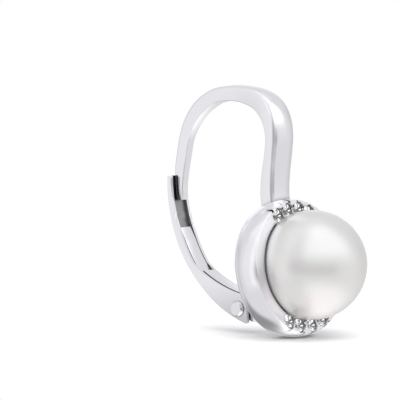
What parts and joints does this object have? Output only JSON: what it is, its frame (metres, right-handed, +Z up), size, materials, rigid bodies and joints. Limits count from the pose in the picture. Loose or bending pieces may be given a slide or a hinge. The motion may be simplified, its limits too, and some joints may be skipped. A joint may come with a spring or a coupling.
{
  "type": "pearl earring",
  "caption": "Lever-back drop earring: a round pearl in a polished ring with short rows of small clear stones, a tapering ear hook and a hinged lever that closes it.",
  "frame": {"origin": "inside top of the hook, where the earring hangs in the ear", "axes": "+Z up, -Y to the front where the pearl shows, +Y to the back where the lever closes, +X across"},
  "size_m": [0.01, 0.0164, 0.0188],
  "materials": {
    "setting_silver": "mirror polished, rhodium plated silver",
    "lever_silver": "polished, rhodium plated silver",
    "spring_strip": "satin spring strip",
    "pin_silver": "polished rivet",
    "pearl": "white pearl with a soft lustre",
    "clear_stone": "clear brilliant cut stone"
  },
  "bodies": {
    "earring": {"setting": "setting_silver", "pearl": "pearl", "stone_top_1": "clear_stone", "stone_top_2": "clear_stone", "stone_top_3": "clear_stone", "stone_top_4": "clear_stone", "stone_bottom_1": "clear_stone", "stone_bottom_2": "clear_stone", "stone_bottom_3": "clear_stone", "stone_bottom_4": "clear_stone"},
    "lever": {"lever": "lever_silver", "leaf_spring": "spring_strip", "hinge_pin": "pin_silver"}
  },
  "joints": [
    {"name": "lever_hinge", "type": "hinge", "parent": "earring", "child": "lever", "pos_m": [0, 0.00028, -0.01513], "axis": [-1, 0, 0], "range_deg": [0, 70]}
  ]
}
